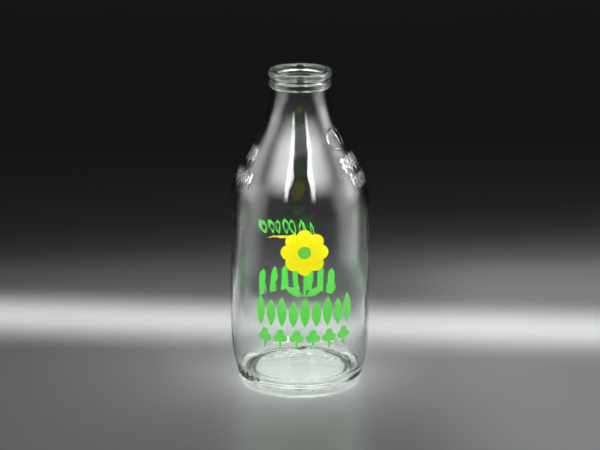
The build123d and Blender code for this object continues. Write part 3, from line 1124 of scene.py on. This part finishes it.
def sweep():
    """One sheet that lies flat under the bottle and curves up behind it."""
    start, bend, steps = 0.55, 0.5, 24
    profile = [(-2.5, 0), (start, 0)]
    for n in range(1, steps + 1):
        turn = math.pi / 2 * n / steps
        profile.append((start + bend * math.sin(turn), bend * (1 - math.cos(turn))))
    profile.append((start + bend, 2.5))
    verts = [(x, y, z) for y, z in profile for x in (-3, 3)]
    faces = [(2 * n, 2 * n + 1, 2 * n + 3, 2 * n + 2) for n in range(len(profile) - 1)]
    mesh = bpy.data.meshes.new("sweep")
    mesh.from_pydata(verts, [], faces)
    mesh.materials.append(shaded_paper_material())
    mesh.polygons.foreach_set("use_smooth", [True] * len(mesh.polygons))
    sheet = bpy.data.objects.new("sweep", mesh)
    bpy.context.scene.collection.objects.link(sheet)
    sheet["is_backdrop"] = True


sweep()

# %% Soft lamps
for_glass = bpy.data.collections.new("for_glass")
for_glass.objects.link(glass)
for_prints = bpy.data.collections.new("for_prints")
for piece in prints:
    for_prints.objects.link(piece)


def window(tree, share, rise, fall):
    """1 in the middle of a softbox, and down to 0 over the named shares of its width at its two edges."""
    return product(tree, ease(tree, share, 0.0, rise), ease(tree, share, 1.0 - fall, 1.0, 1.0, 0.0))


def soft_light(name, location, target, size, radiance, spread=180, only=None, fade=None):
    """A flat softbox. Its brightness is given as radiance, so its size doesn't change how bright it looks.

    fade is the share of it over which the light fades at its left, right, bottom and top."""
    data = bpy.data.lights.new(name, "AREA")
    data.shape = "RECTANGLE"
    data.size, data.size_y = size
    data.energy = radiance * size[0] * size[1] * math.pi
    data.spread = math.radians(spread)
    if fade:
        data.use_nodes = True
        tree = data.node_tree
        on_face = tree.nodes.new("ShaderNodeNewGeometry").outputs["Parametric"]
        face = place(tree, "ShaderNodeSeparateXYZ", None, {0: on_face})
        sides = window(tree, face.outputs["X"], *fade[:2])
        ends = window(tree, face.outputs["Y"], *fade[2:])
        tree.links.new(product(tree, sides, ends), tree.nodes["Emission"].inputs["Strength"])
    lamp = bpy.data.objects.new(name, data)
    lamp.location = location
    lamp.rotation_euler = (Vector(target) - Vector(location)).to_track_quat("-Z", "Y").to_euler()
    lamp.light_linking.receiver_collection = only
    lamp.visible_camera = False
    bpy.context.scene.collection.objects.link(lamp)


shoulder_point = (0, 0, 0.12)
foot_point = (0, 0, 0.02)
lamp_distance = 0.9


def around(angle, elevation):
    """A lamp's place as seen from the bottle's shoulder: angle from the front to the viewer's right."""
    turn, rise = math.radians(angle), math.radians(elevation)
    return (
        lamp_distance * math.cos(rise) * math.sin(turn),
        -lamp_distance * math.cos(rise) * math.cos(turn),
        shoulder_point[2] + lamp_distance * math.sin(rise),
    )


# %% Set out the lamps
# They come in pairs, and the right one of a pair is often a little brighter.
for side, name in ((-1, "left"), (1, "right")):
    # A panel fades quickly towards the strip and slowly away from it.
    panel_fade = (0.12, 0.6, 0.85, 0.15) if side > 0 else (0.6, 0.12, 0.85, 0.15)
    for part, angle, elevation, target, size, radiance, fade in (
        ("_strip", 24, 38, shoulder_point, (0.16, 1.05), 11.0, (0.4, 0.4, 0.3, 0.1)),
        ("_panel", 54, 38, shoulder_point, (0.90, 1.00), 10.0, panel_fade),
        ("_side", 100, 20, shoulder_point, (1.00, 0.90), 2.2 + 0.4 * side, (0.4, 0.4, 0.3, 0.4)),
        ("_back", 148, 34, foot_point, (0.50, 0.70), 1.3, (0.4, 0.4, 0.3, 0.3)),
    ):
        soft_light(name + part, around(side * angle, elevation), target, size, radiance,
                   only=for_glass, fade=fade)
    soft_light(name + "_print", around(side * 50, 35), shoulder_point, (0.7, 0.7), 6.6, only=for_prints)
    soft_light(name + "_card", (side * 0.215, -0.03, 0.13), (0, -0.03, 0.13), (0.26, 0.26),
               1.2 + 0.3 * side, only=for_glass, fade=(0.4, 0.4, 0.1, 0.4))
    soft_light(name + "_pool", (side * 0.52, -0.02, 0.22), (side * 0.54, -0.02, 0), (0.46, 0.9),
               0.12 + 0.1 * side, spread=40)
soft_light("band", (0, 0.09, 0.30), (0, 0.09, 0), (2.4, 0.035), 1.6, spread=18)
bpy.data.objects["band"].rotation_euler.z += math.radians(-4)
soft_light("tent", (0, 0, 1.3), (0, 0, 0), (2.2, 2.2), 0.7, only=for_glass, fade=(0.3, 0.3, 0.3, 0.3))
soft_light("top", (0, -0.1, 0.9), (0, 0, 0), (0.8, 0.6), 0.65)

world = bpy.data.worlds.new("world")
world.use_nodes = True
world.node_tree.nodes["Background"].inputs[0].default_value = (0.09, 0.092, 0.095, 1)
bpy.context.scene.world = world
bpy.context.scene.view_settings.view_transform = "Standard"

# %% Finish
low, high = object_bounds()
for box_name, box in (("CAD box", (*cad_low, *cad_high)), ("visual box", (*low, *high))):
    print(box_name, [round(value, 4) for value in box])
